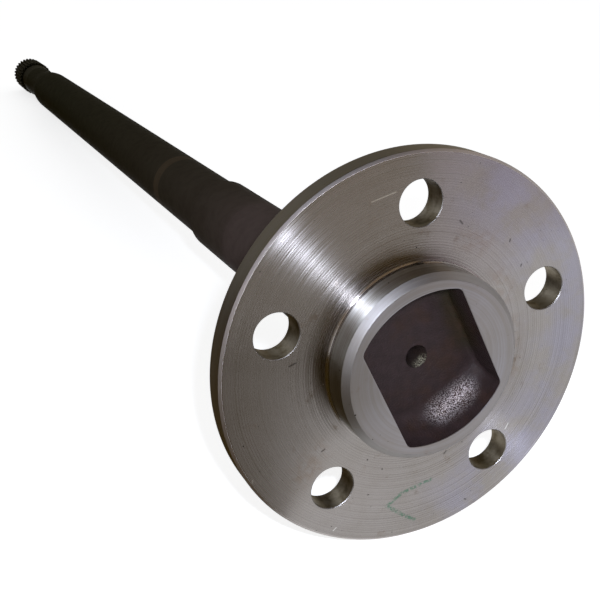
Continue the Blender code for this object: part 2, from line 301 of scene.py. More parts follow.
def rounded(corners):
    """Rounds a profile's corners; corners holds (radius, height, corner radius, finish after it).

    With u and v the unit directions before and after a corner and t the angle between them, the
    arc starts r tan(t / 2) before the corner, and turns about a centre r to the side of u. A
    support point on each side, at most 0.3 of the stretch away, keeps the flat stretches flat
    when the skin is shaded smooth.
    Returns the points and, for each, the finish of the strip that follows it.
    """
    points = np.array([complex(r, z) for r, z, _, _ in corners])
    radii = np.array([c[2] for c in corners])[1:-1]
    finishes = np.array([c[3] for c in corners])
    sides = np.diff(points)
    ways = sides / abs(sides)
    turns = np.angle(ways[1:] / ways[:-1])
    tangents = radii * np.tan(abs(turns) / 2)
    starts = points[1:-1] - ways[:-1] * tangents
    centres = starts + 1j * np.sign(turns) * ways[:-1] * radii
    share = np.linspace(0, 1, ARC_STEPS + 1)
    arcs = centres[:, None] + (starts - centres)[:, None] * np.exp(1j * turns[:, None] * share)
    straight = abs(sides) - np.append(tangents, 0) - np.append(0, tangents)
    room = np.minimum(SUPPORT, 0.3 * straight)
    before = starts - ways[:-1] * room[:-1]
    after = arcs[:, -1] + ways[1:] * room[1:]
    rows = np.concatenate([before[:, None], arcs, after[:, None]], axis=1)
    marks = np.repeat(finishes[1:-1, None], rows.shape[1], axis=1)
    marks[:, 0] = finishes[:-2]
    profile = np.concatenate([points[:1], rows.ravel(), points[-1:]])
    return profile, np.concatenate([finishes[:1], marks.ravel(), finishes[-1:]])


def pocket_outline(half_width, reach, sizes):
    """The pocket's outline at one depth, COLUMNS points spaced evenly along it.

    Two flats at half_width from the axis, two ends bowed to reach, and corner circles that touch
    a flat and an end from inside. The points start at the middle of one flat and run clockwise,
    so that point j lies near clock angle j in the pocket's own frame.
    """
    corner = min(sizes.pocket_corner_radius, half_width / 2)
    end_r = max(sizes.pocket_end_radius, half_width + corner)
    bow = reach - end_r
    centre_x = half_width - corner
    centre_y = bow + math.sqrt((end_r - corner) ** 2 - centre_x ** 2)
    tangent = math.atan2(centre_y - bow, centre_x)
    turn = np.linspace(0, tangent, POCKET_CORNER_POINTS)
    sweep = np.linspace(tangent, math.pi / 2, POCKET_END_POINTS)
    quarter = np.concatenate([[half_width + 0j],
                              complex(centre_x, centre_y) + corner * np.exp(1j * turn),
                              1j * bow + end_r * np.exp(1j * sweep[1:])])
    half = np.concatenate([quarter, -quarter[-2::-1].conj()])
    whole = np.concatenate([half, -half[1:]])
    length = np.append(0, np.cumsum(abs(np.diff(whole))))
    wanted = np.linspace(0, length[-1], COLUMNS, endpoint=False)
    return np.interp(wanted, length, whole.real) - 1j * np.interp(wanted, length, whole.imag)


def pocket_lumps(points, height):
    """Low lumps of a forged surface: a sum of sine waves 4 to 13 mm long in seeded directions."""
    rng = np.random.default_rng(7)
    waves = rng.normal(size=(LUMP_WAVES, 3))
    waves /= np.linalg.norm(waves, axis=1)[:, None]
    waves *= 2 * np.pi / (rng.uniform(4.0, 13.0, LUMP_WAVES) * MM)[:, None]
    phase = rng.uniform(0, 2 * np.pi, LUMP_WAVES)
    return height * np.sin(points @ waves.T + phase).mean(axis=-1) * math.sqrt(LUMP_WAVES)


def pocket_rings(sizes):
    """The pocket from the mouth of its centre hole to the turned face of the pilot.

    The floor blends from the hole's circle to the lowest outline. At depth D sin(a) the flats
    lean in by their draft and end in a small fillet, and the ends sweep in by the dish times
    1 - cos(a), the quarter of an ellipse. The face blends from the mouth to the pilot's circle.
    Lumps push the floor up and down and the walls in and out, and fade out at both edges.
    """
    circle = 1j * np.exp(-1j * np.linspace(0, 2 * np.pi, COLUMNS, endpoint=False))
    half_width = sizes.pocket_width / 2
    face_r = sizes.pilot_d / 2 - sizes.pilot_chamfer
    reach = face_r - sizes.pocket_end_rim
    flat_clock = math.pi / 2 - sizes.pocket_turn
    shift = int(round(flat_clock / (2 * math.pi) * COLUMNS))
    own_turn = np.exp(-1j * flat_clock) * 1j

    def outline(width, length):
        return np.roll(pocket_outline(width, length, sizes) * own_turn, shift)

    angles = np.linspace(math.pi / 2, 0, POCKET_WALL_RINGS)
    depths = sizes.pocket_depth * np.sin(angles)
    into_fillet = np.maximum(0, depths - (sizes.pocket_depth - sizes.pocket_side_fillet))
    fillet = sizes.pocket_side_fillet - np.sqrt(
        np.maximum(0, sizes.pocket_side_fillet ** 2 - into_fillet ** 2))
    widths = half_width - depths * math.tan(sizes.pocket_side_draft) - fillet
    lengths = reach - sizes.pocket_end_dish * (1 - np.cos(angles))
    wall = np.array([outline(w, r) for w, r in zip(widths, lengths)])
    heights = sizes.pilot_height - depths

    # The rings of the floor and the face crowd towards their edges, where the surface bends
    hole = circle * sizes.centre_hole_d / 2
    share = np.array([0, 0.02, 0.08, 0.2, 0.35, 0.5, 0.65, 0.8, 0.92])[:, None]
    floor = hole + (wall[0] - hole) * share
    floor_z = np.full(len(floor), heights[0])

    edge = sizes.edge
    lip_angles = np.array([math.pi / 4, math.pi / 2])
    lip = np.array([outline(half_width + out, reach + out)
                    for out in edge * (1 - np.cos(lip_angles))])
    lip_z = sizes.pilot_height + edge * (np.sin(lip_angles) - 1)
    heights[-1] = sizes.pilot_height - edge
    rim = circle * face_r
    share = np.array([0.03, 0.25, 0.5, 0.75, 0.97])[:, None]
    face = lip[-1] + (rim - lip[-1]) * share
    face_z = np.full(len(face), sizes.pilot_height)

    flat = np.concatenate([floor, wall, lip, face])
    z = np.concatenate([floor_z, heights, lip_z, face_z])
    points = np.stack([flat.real, flat.imag, np.broadcast_to(z[:, None], flat.shape)], axis=-1)
    finishes = np.full(len(flat), SCALE)
    finishes[len(floor) + len(wall) - 1:] = LAND
    lumps = np.zeros(len(flat))
    lumps[3:len(floor) + len(wall) - 3] = 1
    soft = np.convolve(lumps, np.ones(5) / 5, mode="same")
    lift = pocket_lumps(points, sizes.scale_lumps) * soft[:, None]
    points[..., 2] += lift
    points[..., :2] -= points[..., :2] / face_r * lift[..., None] / 2
    return points, finishes


def centre_hole(sizes, mouth_z, outward):
    """Profile of a centre hole from its pointed foot up to its mouth.

    The drill's point and the cone above the drilled hole both lean by the centre's slope.
    outward is 1 for a face that looks along +Z, and -1 for one that looks the other way.
    """
    mouth_r, drill_r = sizes.centre_hole_d / 2, sizes.centre_drill_d / 2
    point = drill_r * np.array([0, 0.5, 1])
    cone = drill_r + (mouth_r - drill_r) * np.array([0, 0.7, 1])
    depths = np.append(sizes.centre_drill_depth + (drill_r - point) * CENTRE_SLOPE,
                       (mouth_r - cone) / CENTRE_SLOPE)
    return np.append(point, cone) + 1j * (mouth_z - outward * depths)


def spline_rings(profile, sizes):
    """Rings of the splined end, each cut by the spaces between flat-sided teeth.

    A space's flank lies at x = a + b y, with b the tangent of the pressure angle and a such that
    the space is a quarter of the pitch wide at the pitch circle. It meets the ring's own circle,
    x squared plus y squared equal to r squared, at the tooth's corner, and the flat root lies at
    the root's radius. Rings inside the root circle stay round.
    """
    module, teeth = sizes.spline_module, sizes.spline_teeth
    pitch_r = teeth * module / 2
    root = pitch_r - ROOT_DEPTH * module
    slope = math.tan(sizes.pressure_angle)
    offset = math.pi * module / 4 - pitch_r * slope
    outer = profile.real
    discriminant = (offset * slope) ** 2 - (1 + slope ** 2) * (offset ** 2 - outer ** 2)
    corner_y = (np.sqrt(np.maximum(discriminant, 0)) - offset * slope) / (1 + slope ** 2)
    share = np.array([0, 0, 1 / 3, 2 / 3, 1])
    y = root + (corner_y[:, None] - root) * share
    x = offset + slope * y
    x[:, 0] = 0
    flank = y + 1j * x
    half = np.pi / teeth
    tooth_angle = np.linspace(np.angle(flank[:, -1]), half, 3, axis=1)[:, 1:]
    land = outer[:, None] * np.exp(1j * tooth_angle)
    rise = np.concatenate([flank, land], axis=1)
    fall = rise[:, -2:0:-1].conj() * np.exp(2j * half)
    space = np.concatenate([rise, fall], axis=1)
    turns = np.exp(2j * half * np.arange(teeth))
    toothed = (space[:, None, :] * turns[:, None]).reshape(len(profile), -1)
    round_ring = outer[:, None] * np.exp(2j * np.pi * np.arange(COLUMNS) / COLUMNS)
    root_corner = abs(complex(root, offset + slope * root))
    flat = np.where((outer > root_corner + SUPPORT / 5)[:, None], toothed, round_ring)
    heights = np.broadcast_to(profile.imag[:, None], flat.shape)
    return np.stack([flat.imag, flat.real, heights], axis=-1)


def stud_hole_sectors(sizes, front_r, rim_r, back_r):
    """Both faces of the flange and its stud holes, one sheet of loops for each hole's share.

    A loop starts as the edge of the share: an arc, a straight side, the outer arc and the other
    side. It shrinks on to the hole's mouth, goes through the hole as a circle and grows back to
    the same kind of edge behind. The hole's points lie in the directions of the front edge's, and
    the loops draw closer together towards the hole.
    """
    half = math.pi / STUD_HOLES
    arc = np.linspace(-half, half, COLUMNS // STUD_HOLES + 1)
    centre = 1j * sizes.bolt_circle_d / 2

    def edge(inner_r):
        side = np.linspace(inner_r, rim_r, SECTOR_SIDE_STEPS + 1)
        return np.concatenate([inner_r * 1j * np.exp(-1j * arc[:-1]),
                               side[:-1] * 1j * np.exp(-1j * half),
                               rim_r * 1j * np.exp(-1j * arc[:0:-1]),
                               side[:0:-1] * 1j * np.exp(1j * half)])

    front, back = edge(front_r), edge(back_r)
    way = (front - centre) / abs(front - centre)
    hole_r, chamfer = sizes.stud_hole_d / 2, sizes.stud_hole_chamfer
    wall, mouth, near = (centre + way * (hole_r + out) for out in (0, chamfer, chamfer + SUPPORT))
    share = (np.linspace(0, 1, SECTOR_LOOPS) ** 0.8)[:, None]
    thickness = sizes.flange_thickness
    loops = np.concatenate([front + (near - front) * share, [mouth, wall, wall, wall, mouth],
                            near + (back - near) * share])
    heights = np.concatenate([np.zeros(SECTOR_LOOPS), [0, -chamfer, -thickness / 2,
                              chamfer - thickness, -thickness], np.full(SECTOR_LOOPS, -thickness)])
    finishes = np.full(len(loops), FACED)
    finishes[[SECTOR_LOOPS, SECTOR_LOOPS + 3]] = CHAMFER
    finishes[SECTOR_LOOPS + 1:SECTOR_LOOPS + 3] = DRILLED
    turns = np.exp(-2j * half * np.arange(STUD_HOLES))
    sheets = loops[None] * turns[:, None, None]
    heights = np.broadcast_to(heights[None, :, None], sheets.shape)
    return np.stack([sheets.real, sheets.imag, heights], axis=-1), finishes


def turned_outlines(sizes):
    """The turned outline in stretches, each a list of corners for rounded, and the end's height.

    They run over the pilot, round the rim, into the seal land, and down the steps, the taper and
    the ramp to the splined end. The taper is half a cosine wave and comes as finished points.
    """
    edge, pilot_r, flange_r = sizes.edge, sizes.pilot_d / 2, sizes.flange_r
    back = -sizes.flange_thickness
    land_r = sizes.journal_d / 2 + sizes.seal_land_step
    journal_r, body_r = sizes.journal_d / 2, sizes.body_d / 2
    pitch_r = sizes.spline_teeth * sizes.spline_module / 2
    neck_r = pitch_r - ROOT_DEPTH * sizes.spline_module - sizes.neck_below_root
    tip_r = pitch_r + sizes.spline_module / 2
    face_inner = pilot_r + sizes.pilot_root_fillet + 2 * SUPPORT
    face_outer = flange_r - sizes.flange_chamfer - 3 * SUPPORT
    back_inner = land_r + sizes.seal_land_fillet + 2 * SUPPORT
    chamfer_r = pilot_r - sizes.pilot_chamfer
    pilot = [(chamfer_r - SUPPORT * 2, sizes.pilot_height, 0, LAND),
             (chamfer_r, sizes.pilot_height, edge, CHAMFER),
             (pilot_r, sizes.pilot_height - sizes.pilot_chamfer, edge, WALL),
             (pilot_r, 0, sizes.pilot_root_fillet, FACED), (face_inner, 0, 0, FACED)]
    rim_edge = flange_r - sizes.flange_chamfer
    rim = [(face_outer, 0, 0, FACED), (rim_edge, 0, edge, EDGE),
           (flange_r, -sizes.flange_chamfer, edge, RIM),
           (flange_r, back + sizes.flange_chamfer, edge, EDGE), (rim_edge, back, edge, FACED),
           (face_outer, back, 0, FACED)]
    journal_z = back - sizes.seal_land_length
    body_z = journal_z - sizes.journal_length
    taper_z = body_z - sizes.body_length
    neck_z = taper_z - sizes.taper_length
    spline_z = neck_z - sizes.neck_length
    end_z = spline_z - sizes.spline_length
    land_z = back - sizes.seal_land_fillet - 2 * SUPPORT
    shaft = [(back_inner, back, 0, FACED), (land_r, back, sizes.seal_land_fillet, SHAFT),
             (land_r, land_z, 0, SHAFT)]
    steps = [(land_r, land_z, 0, SHAFT), (land_r, journal_z, edge, SHAFT),
             (journal_r, journal_z - (land_r - journal_r), edge, SHAFT),
             (journal_r, body_z, edge, SHAFT),
             (body_r, body_z - (journal_r - body_r), edge, SHAFT), (body_r, taper_z, 0, SHAFT)]
    sweep = np.linspace(0, math.pi, TAPER_RINGS)[1:]
    taper = neck_r + (body_r - neck_r) * (1 + np.cos(sweep)) / 2 + 1j * (
        taper_z - sizes.taper_length * sweep / math.pi)
    ramp = [(neck_r, neck_z, 0, SHAFT), (neck_r, spline_z, RAMP_FILLET, HOBBED),
            (tip_r, spline_z - (tip_r - neck_r), edge / 2, HOBBED),
            (tip_r, end_z + sizes.spline_end_chamfer, edge / 2, HOBBED),
            (tip_r - sizes.spline_end_chamfer, end_z, 0, HOBBED)]
    return pilot, rim, shaft, steps, taper, ramp, end_z


def shaft_skin(sizes):
    """Every sheet of the shaft's skin as (rings of points, finish of the strip after each ring)."""
    pilot, rim, fillet, steps, taper, ramp, end_z = turned_outlines(sizes)
    pocket, pocket_finish = pocket_rings(sizes)
    front_hole = rings_from_profile(centre_hole(sizes, sizes.pilot_height - sizes.pocket_depth, 1))
    pilot_profile, pilot_finish = rounded(pilot)
    front = np.concatenate([front_hole[:-1], pocket, rings_from_profile(pilot_profile)[1:]])
    front_finish = np.concatenate([np.full(len(front_hole) - 1, SCALE), pocket_finish,
                                   pilot_finish[1:]])
    rim_profile, rim_finish = rounded(rim)
    fillet_profile, fillet_finish = rounded(fillet)
    steps_profile, steps_finish = rounded(steps)
    ramp_profile, _ = rounded(ramp)
    root_r = ramp_profile.real.min() + sizes.neck_below_root
    toothed = spline_rings(finely(ramp_profile, root_r), sizes)
    end_face = np.array([0.9, 0.6]) * ramp_profile[-1].real + 1j * end_z
    end_hole = centre_hole(sizes, end_z, -1)[::-1]
    down = np.concatenate([rings_from_profile(fillet_profile),
                           rings_from_profile(np.append(steps_profile[1:], taper)), toothed[1:],
                           rings_from_profile(np.append(end_face, end_hole))])
    down_finish = np.concatenate([fillet_finish, steps_finish[1:], np.full(len(taper), SHAFT),
                                  np.full(len(toothed) - 1 + len(end_face), HOBBED),
                                  np.full(len(end_hole), DRILLED)])
    sectors, sector_finish = stud_hole_sectors(sizes, pilot[-1][0], rim[0][0], fillet[0][0])
    sheets = [(front, front_finish), (rings_from_profile(rim_profile), rim_finish),
              (down, down_finish)]
    return sheets + [(sector, sector_finish) for sector in sectors]


def finely(profile, root_r):
    """Adds rings where the teeth rise out of the ramp and where the end's chamfer cuts them.

    A sloping stretch is cut into seven, a long level one into two, and a slope that crosses the
    root's circle gets a ring just outside it.
    """
    starts, ends = profile[:-1], profile[1:]
    slopes = abs(ends.real - starts.real) > SUPPORT
    long_levels = ~slopes & (abs(ends.imag - starts.imag) > 10 * MM)
    share = np.linspace(0, 1, 8)[1:-1, None]
    sevenths = starts[slopes] + (ends - starts)[slopes] * share
    middles = (starts + ends)[long_levels] / 2
    crossed = slopes & ((starts.real - root_r) * (ends.real - root_r) < 0)
    crossing = starts[crossed] + (ends - starts)[crossed] * (
        (root_r + SUPPORT / 2 - starts.real[crossed]) / (ends - starts)[crossed].real)
    every = np.concatenate([profile, sevenths.T.ravel(), middles, crossing])
    return every[np.argsort(-every.imag, kind="stable")]


def build_skin(name, sheets, turn, origin):
    """Joins sheets of rings into one closed mesh and lays it down with the shaft's frame."""
    points, faces, finishes = [], [], []
    start = 0
    for rings, finish in sheets:
        count, columns = rings.shape[:2]
        points.append(rings.reshape(-1, 3))
        faces.append(grid_faces(count, columns, start))
        finishes.append(np.repeat(finish[:-1], columns))
        start += count * columns
    points = np.concatenate(points) @ np.array(turn).T + np.array(origin)
    mesh = bpy.data.meshes.new(name)
    mesh.from_pydata(points.tolist(), [], np.concatenate(faces).tolist())
    mesh.polygons.foreach_set("material_index", np.concatenate(finishes).astype(np.int32))
    skin = bmesh.new()
    skin.from_mesh(mesh)
    bmesh.ops.remove_doubles(skin, verts=skin.verts, dist=MERGE)
    skin.to_mesh(mesh)
    skin.free()
    mesh.shade_smooth()
    mesh.set_sharp_from_angle(angle=SHARP_ANGLE)
    piece = bpy.data.objects.new(name, mesh)
    bpy.context.scene.collection.objects.link(piece)
    return piece


def add_node(tree, kind, *values, sockets=(), **settings):
    """Adds a shader node with its settings and links, and gives its first output in use.

    values fill the node's inputs in their order, and sockets names further ones. A value is a
    number, a colour, a vector or another node's output.
    """
    node = tree.nodes.new("ShaderNode" + kind)
    for name, value in settings.items():
        setattr(node, name, value)
    inputs = [socket for socket in node.inputs if socket.enabled]
    named = [(node.inputs[name], value) for name, value in dict(sockets).items()]
    for socket, value in [*zip(inputs, values), *named]:
        if isinstance(value, bpy.types.NodeSocket):
            tree.links.new(value, socket)
        else:
            socket.default_value = value
    return next((socket for socket in node.outputs if socket.enabled), None)


def new_material(name):
    """A node material and its empty tree."""
    material = bpy.data.materials.new(name)
    material.use_nodes = True
    material.node_tree.nodes.clear()
    return material, material.node_tree


def shaft_coordinates(tree, turn, origin):
    """Object coordinates brought into the shaft's own frame.

    Gives the point, its distance from the axis and its height along it, and the directions that
    lie out from the axis and round it there. The feed is the radius less the height, which grows
    along a face, a cylinder and a chamfer alike, as a tool moves over them.
    """
    place = add_node(tree, "TexCoord").node.outputs["Object"]
    point = add_node(tree, "Mapping", place, origin, turn.to_euler(), vector_type="TEXTURE")
    parts = add_node(tree, "SeparateXYZ", point).node.outputs
    level = add_node(tree, "CombineXYZ", parts["X"], parts["Y"])
    radius = add_node(tree, "VectorMath", level, operation="LENGTH")
    side = add_node(tree, "VectorMath", level, operation="NORMALIZE")
    feed = add_node(tree, "Math", radius, parts["Z"], operation="SUBTRACT")
    axis = turn.col[2]
    from_centre = add_node(tree, "VectorMath", place, origin, operation="SUBTRACT")
    round_axis = add_node(tree, "VectorMath", axis, from_centre, operation="CROSS_PRODUCT")
    outwards = add_node(tree, "VectorMath", round_axis, axis, operation="CROSS_PRODUCT")
    return {"point": point, "radius": radius, "height": parts["Z"], "side": side, "feed": feed,
            "round_axis": round_axis, "outwards": outwards}


def tool_marks(tree, coordinates, pitch, drift):
    """Noise from 0 to 1 drawn out into rings: fast along the tool's feed, slow round the shaft.

    Drift is how many times the marks change on the way round.
    """
    feed = add_node(tree, "Math", coordinates["feed"], pitch, operation="DIVIDE")
    feed = add_node(tree, "CombineXYZ", sockets={"Z": feed})
    place = add_node(tree, "VectorMath", coordinates["side"], (drift, drift, 0), feed,
                     operation="MULTIPLY_ADD")
    marks = add_node(tree, "TexNoise", place, sockets={"Scale": 1.0, "Detail": 1.0,
                                                       "Roughness": 0.5})
    return add_node(tree, "MapRange", marks, 0.3, 0.7)


def grooves(tree, coordinates, pitch, marks):
    """One groove for each turn of the lathe, from -1 to 1, that the marks push to and fro."""
    phase = add_node(tree, "Math", coordinates["feed"], math.tau / pitch, operation="MULTIPLY")
    phase = add_node(tree, "Math", marks, 2.0, phase, operation="MULTIPLY_ADD")
    return add_node(tree, "Math", phase, operation="SINE")


def patches(tree, coordinates, width, low, high, seed, detail=4.0):
    """Soft patches about width across: 0 where a noise field is below low, 1 above high."""
    place = add_node(tree, "VectorMath", coordinates["point"], (seed, 2 * seed, 3 * seed),
                     operation="ADD")
    noise = add_node(tree, "TexNoise", place, sockets={"Scale": 1 / width, "Detail": detail,
                                                       "Roughness": 0.6})
    return add_node(tree, "MapRange", noise, low, high, interpolation_type="SMOOTHSTEP")


def near_lines(tree, coordinates, paths, inner, outer, broken_by=1.0):
    """1 within inner of any path on the wheel face, fading to 0 at outer, times broken_by.

    The nearest point of a line from a to b lies from a by the offset's share along it, held
    between 0 and the line's length.
    """
    nearest = outer
    for start, end in [pair for path in paths for pair in zip(path, path[1:])]:
        start, end = Vector((*start, 0)) * MM, Vector((*end, 0)) * MM
        way = (end - start).normalized()
        offset = add_node(tree, "VectorMath", coordinates["point"], start, operation="SUBTRACT")
        along = add_node(tree, "VectorMath", offset, way, operation="DOT_PRODUCT")
        along = add_node(tree, "Clamp", along, 0, (end - start).length)
        foot = add_node(tree, "VectorMath", way, sockets={"Scale": along}, operation="SCALE")
        distance = add_node(tree, "VectorMath", offset, foot, operation="DISTANCE")
        nearest = add_node(tree, "Math", nearest, distance, operation="MINIMUM")
    near = add_node(tree, "MapRange", nearest, inner, outer, 1.0, 0.0,
                    interpolation_type="SMOOTHSTEP")
    return add_node(tree, "Math", near, broken_by, operation="MULTIPLY")


def laid_over(tree, base, layers):
    """The base colour under layers, each given as (where, how strong, colour)."""
    for share, strength, tint in layers:
        amount = add_node(tree, "Math", share, strength, operation="MULTIPLY")
        base = add_node(tree, "Mix", amount, base, tint, data_type="RGBA")
    return base


def face_marks(tree, coordinates, finish):
    """What handling left on the wheel face, each as (where, how strong, colour)."""
    specks = patches(tree, coordinates, 0.9 * MM, 0.35, 0.6, seed=0.77, detail=2.0)
    blotches = patches(tree, coordinates, 4 * MM, 0.35, 0.65, seed=0.9)
    clouds = patches(tree, coordinates, 16 * MM, 0.3, 0.6, seed=0.66)
    return [(near_lines(tree, coordinates, paths, inner * MM, outer * MM, broken_by), *look)
            for paths, inner, outer, broken_by, *look in (
                (OIL_FILM, 0, 32, clouds, 0.7, finish.film),
                (RUST_BLOOMS, 0, 9, blotches, 0.3, finish.stain),
                (CRAYON_TICK, 0.2, 1.15, specks, 0.65, finish.crayon),
                (NICKS, 0.1, 0.5, 1.0, 0.6, finish.pit_and_shade),
                (SCRATCHES, 0.05, 0.35, 1.0, 0.8, finish.scratch))]


def turned_material(name, finish, turn, origin, light, dull, roughness, streak, mark_depth,
                    rings, ridges=0.035, across=0.25, handled=False):
    """Bare steel, cut on a lathe and lightly oiled.

    The tool leaves rings too fine to see one by one. They draw every highlight out across
    themselves, which gives the bright band that crosses the face, and the coarser ones, drawn
    wider apart than they are so that they show, break the band into lines. A film of oil, stains
    and a few pits lie over them.

    light and dull are the bare and the oiled colour, streak is how far highlights are drawn out,
    and rings is how strongly the marks tint the steel. ridges is how much the grooves' roughness
    differs from that between them, and across is the part of a turn from the marks' own way to
    the way that highlights are drawn: 0.25 is across the marks and 0 along them.
    """
    material, tree = new_material(name)
    coordinates = shaft_coordinates(tree, turn, origin)
    fine = tool_marks(tree, coordinates, finish.groove_pitch, drift=0.3)
    coarse = tool_marks(tree, coordinates, finish.groove_pitch * COARSE_PITCHES, drift=0.2)
    oil = patches(tree, coordinates, 22 * MM, 0.35, 0.7, seed=0.31)
    stains = patches(tree, coordinates, 7 * MM, 0.60, 0.78, seed=0.52, detail=6.0)
    pits = patches(tree, coordinates, 1.6 * MM, 0.735, 0.765, seed=0.11, detail=2.0)
    layers = [(oil, 0.35, dull), (coarse, rings, dull), (fine, rings, dull),
              (stains, 0.35, finish.stain), (pits, 1.0, finish.pit_and_shade)]
    if handled:
        layers += face_marks(tree, coordinates, finish)
    cut = grooves(tree, coordinates, finish.groove_pitch * CUT_PITCHES, fine)
    gloss = add_node(tree, "Math", fine, 0.07, roughness - 0.035, operation="MULTIPLY_ADD")
    gloss = add_node(tree, "Math", cut, ridges, gloss, operation="MULTIPLY_ADD")
    gloss = add_node(tree, "Math", stains, 0.1, gloss, operation="MULTIPLY_ADD")
    height = add_node(tree, "Math", coarse, 0.4, fine, operation="MULTIPLY_ADD")
    height = add_node(tree, "Math", height, pits, operation="SUBTRACT")
    bump = add_node(tree, "Bump", sockets={"Height": height, "Distance": mark_depth})
    waver = tool_marks(tree, coordinates, finish.groove_pitch, drift=1.5)
    waver = add_node(tree, "Math", waver, 0.08, -0.04, operation="MULTIPLY_ADD")
    tangent = add_node(tree, "VectorMath", coordinates["outwards"], sockets={"Scale": waver},
                       operation="SCALE")
    tangent = add_node(tree, "VectorMath", tangent, coordinates["round_axis"], operation="ADD")
    shader = add_node(tree, "BsdfPrincipled", sockets={
        "Base Color": laid_over(tree, light, layers), "Metallic": 1.0, "Roughness": gloss,
        "Anisotropic": streak, "Anisotropic Rotation": across, "Tangent": tangent,
        "Normal": bump})
    add_node(tree, "OutputMaterial", shader)
    return material


def drilled_material(finish, turn, origin):
    """Bare steel of a drilled hole, browned by cutting oil.

    The drill's marks run round the hole, so a highlight is drawn out along the hole.
    """
    material, tree = new_material("drilled steel")
    coordinates = shaft_coordinates(tree, turn, origin)
    place = add_node(tree, "VectorMath", coordinates["point"], DRILL_MARKS,
                     operation="MULTIPLY")
    marks = add_node(tree, "TexNoise", place, sockets={"Scale": 1.0, "Detail": 3.0})
    oil = patches(tree, coordinates, 6 * MM, 0.35, 0.7, seed=0.2)
    steel = add_node(tree, "Mix", oil, finish.bore, finish.bore_stain, data_type="RGBA")
    gloss = add_node(tree, "Math", marks, 0.2, 0.4, operation="MULTIPLY_ADD")
    along = add_node(tree, "CombineXYZ", *turn.col[2])
    bump = add_node(tree, "Bump", sockets={"Height": marks, "Distance": 0.03 * MM})
    shader = add_node(tree, "BsdfPrincipled", sockets={
        "Base Color": steel, "Metallic": 1.0, "Roughness": gloss, "Anisotropic": 0.75,
        "Tangent": along, "Normal": bump})
    add_node(tree, "OutputMaterial", shader)
    return material


def scale_material(finish, turn, origin):
    """Iron oxide as the forging die leaves it: a dark purplish skin, finely grained.

    A painted highlight lies on the lower dished end: a bright, half-metallic patch whose grains
    each take their own glint from the lamp. Thin places turn a rusty brown, and painted shade with
    an olive tint darkens one flat wall.
    """
    material, tree = new_material("forging scale")
    coordinates = shaft_coordinates(tree, turn, origin)
    warm = patches(tree, coordinates, 15 * MM, 0.45, 0.65, seed=0.41)
    tone = patches(tree, coordinates, 3 * MM, 0.3, 0.7, seed=0.17)
    blotches = patches(tree, coordinates, 3 * MM, 0.3, 0.6, seed=0.6)
    grain = add_node(tree, "TexNoise", coordinates["point"], sockets={
        "Scale": 1 / (0.8 * MM), "Detail": 3.0, "Roughness": 0.65})
    grains = patches(tree, coordinates, 0.42 * MM, 0.44, 0.6, seed=0.27, detail=1.0)
    # Inside the centre hole: darkened with painted shade, and where its crumbs lie
    inside = add_node(tree, "Math", coordinates["radius"], HOLE_R, operation="LESS_THAN")
    # Painted shade, olive-tinted, that darkens the flat wall along this line
    oil = near_lines(tree, coordinates, POCKET_WALL_SHADE, 0, 11 * MM)
    rust = near_lines(tree, coordinates, POCKET_RUST, 0, 5 * MM, blotches)
    # Painted highlight on the lower dished end, made of bright grains
    painted_highlight = near_lines(tree, coordinates, PAINTED_HIGHLIGHT_END, 0, 9 * MM, grains)
    crumbs = near_lines(tree, coordinates, HOLE_CRUMBS, 0.8 * MM, 3.4 * MM, grains)
    crumbs = add_node(tree, "Math", crumbs, inside, operation="MULTIPLY")
    # Over the oxide: tints at random, painted shade with an olive tint along one flat wall, rust,
    # the painted highlight on the lower dished end, painted shade in the centre hole, and its
    # crumbs
    oxide = laid_over(tree, finish.scale, (
        (warm, 0.6, finish.scale_warm), (tone, 0.35, finish.pit_and_shade), (oil, 0.8, finish.far_shade_and_oil),
        (rust, 0.6, finish.scale_warm), (painted_highlight, 0.9, finish.painted_highlight), (inside, 0.6, finish.pit_and_shade),
        (crumbs, 0.9, finish.crumbs)))
    # The painted highlight is also glossier and half metallic
    gloss = add_node(tree, "Math", painted_highlight, 0.1, 0.28, operation="MULTIPLY_ADD")
    metal = add_node(tree, "Math", painted_highlight, 0.8, operation="MULTIPLY")
    bump = add_node(tree, "Bump", sockets={"Height": grain, "Distance": 0.3 * MM})
    shader = add_node(tree, "BsdfPrincipled", sockets={
        "Base Color": oxide, "Metallic": metal, "Roughness": gloss, "Specular IOR Level": 0.12,
        "Normal": bump})
    add_node(tree, "OutputMaterial", shader)
    return material


